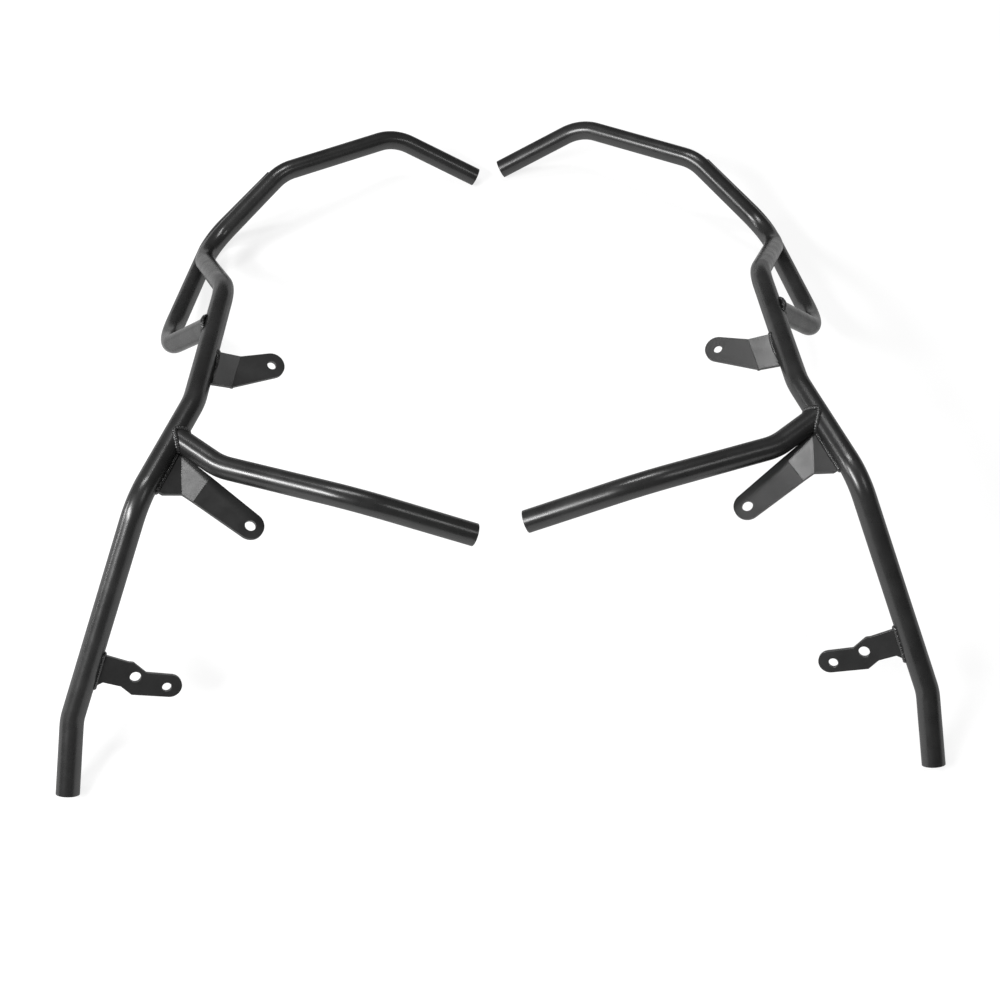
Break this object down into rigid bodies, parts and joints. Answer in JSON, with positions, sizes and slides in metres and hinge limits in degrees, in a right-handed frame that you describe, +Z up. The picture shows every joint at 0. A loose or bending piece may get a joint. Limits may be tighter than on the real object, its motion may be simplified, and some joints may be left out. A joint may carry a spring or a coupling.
{
  "type": "motorcycle crash bars",
  "caption": "Left and right engine guards of bent round steel tube with outer loops, cross tubes and drilled flat mounting tabs.",
  "frame": {"origin": "under the middle of the pair's bounding box, on the floor that both bars lie on", "axes": "+Z up, +Y towards the front tips, +X towards the right bar, as the pair is laid out in the picture"},
  "size_m": [0.8338, 0.8787, 0.2171],
  "materials": {
    "black_steel": "satin black powder coat",
    "weld_bead": "powder-coated weld bead",
    "end_plug": "matt black moulded plastic"
  },
  "bodies": {
    "root": {"left_main_tube": "black_steel", "left_loop_tube": "black_steel", "left_cross_tube": "black_steel", "left_upper_tab": "black_steel", "left_middle_tab": "black_steel", "left_lower_tab": "black_steel", "left_cross_weld": "weld_bead", "left_loop_top_weld": "weld_bead", "left_loop_foot_weld": "weld_bead", "left_upper_tab_weld": "weld_bead", "left_middle_tab_weld": "weld_bead", "left_lower_tab_weld": "weld_bead", "left_tip_plug": "end_plug", "left_cross_plug": "end_plug", "left_lower_plug": "end_plug", "right_main_tube": "black_steel", "right_loop_tube": "black_steel", "right_cross_tube": "black_steel", "right_upper_tab": "black_steel", "right_middle_tab": "black_steel", "right_lower_tab": "black_steel", "right_cross_weld": "weld_bead", "right_loop_top_weld": "weld_bead", "right_loop_foot_weld": "weld_bead", "right_upper_tab_weld": "weld_bead", "right_middle_tab_weld": "weld_bead", "right_lower_tab_weld": "weld_bead", "right_tip_plug": "end_plug", "right_cross_plug": "end_plug", "right_lower_plug": "end_plug"}
  },
  "joints": []
}
